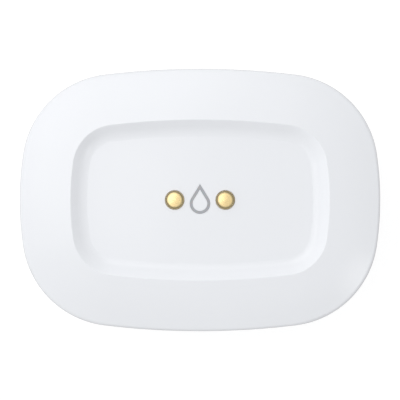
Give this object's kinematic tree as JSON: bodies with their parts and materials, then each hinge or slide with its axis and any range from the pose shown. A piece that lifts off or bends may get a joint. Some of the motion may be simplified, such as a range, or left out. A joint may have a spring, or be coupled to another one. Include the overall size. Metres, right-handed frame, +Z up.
{
  "type": "water leak sensor",
  "caption": "Palm-size rounded-rectangle water leak sensor with a dished top, gold contact studs beside a drop sign, foot probes below, a side button and a round battery door.",
  "frame": {"origin": "on the floor, at the middle of the body's outline, in the plane of the four foot tips", "axes": "+X along the long side to the right as the picture shows it, +Y to the back, where the button is, +Z up through the dished top"},
  "size_m": [0.051, 0.0372, 0.0187],
  "materials": {
    "housing": "satin white moulding",
    "gold": "gold plated",
    "spring_contact": "gold flashed spring strip",
    "nickel_strip": "nickel plated strip",
    "seal": "dark silicone",
    "plug": "light grey silicone",
    "steel": "zinc plated",
    "cell_steel": "bright nickel plated",
    "cell_core": "pressed powder and lithium",
    "cell_ring": "moulded",
    "drop_grey": "translucent grey",
    "clear_guide": "frosted clear",
    "board": "green solder mask",
    "shield": "tinned",
    "chip": "moulded black",
    "crystal": "lidded",
    "ceramic": "fired",
    "capacitor": "fired tan",
    "lamp": "clear resin on white",
    "switch": "moulded black"
  },
  "bodies": {
    "case": {"top_cover": "housing", "bottom_case": "housing", "probe_left": "gold", "probe_right": "gold", "foot_probe_front_left": "gold", "foot_probe_front_right": "gold", "foot_probe_back_left": "gold", "foot_probe_back_right": "gold", "probe_contacts": "spring_contact", "foot_contacts": "spring_contact", "positive_contact": "nickel_strip", "negative_contact": "nickel_strip", "case_gasket": "seal", "probe_seals": "seal", "foot_seals": "seal", "button_seal": "seal", "screw_plugs": "plug", "case_screws": "steel", "board_screws": "steel", "probe_clips": "steel", "foot_clips": "steel", "drop_inlay": "drop_grey", "light_guide": "clear_guide", "main_board": "board", "radio_shield": "shield", "radio_chip": "chip", "resistors": "chip", "crystal": "crystal", "antenna": "ceramic", "capacitors": "capacitor", "status_led": "lamp", "switch_body": "switch"},
    "battery_door": {"battery_door": "housing", "door_seal": "seal"},
    "coin_cell": {"cell_can": "cell_steel", "cell_insulator": "cell_ring", "cell_cap": "cell_steel", "cell_filling": "cell_core"},
    "pair_button": {"pair_button": "housing", "switch_plunger": "switch"}
  },
  "joints": [
    {"name": "door_pull", "type": "slide", "parent": "case", "child": "battery_door", "axis": [0, 0, -1], "range_m": [0, 0.02]},
    {"name": "cell_lift", "type": "slide", "parent": "case", "child": "coin_cell", "axis": [0, 0, -1], "range_m": [0, 0.0126]},
    {"name": "button_press", "type": "slide", "parent": "case", "child": "pair_button", "axis": [0, -1, 0], "range_m": [0, 0.0003], "stiffness_N_per_m": 4000}
  ],
  "couplings": [
    {"joint": "cell_lift", "follows": "door_pull", "ratio": 0.625}
  ]
}
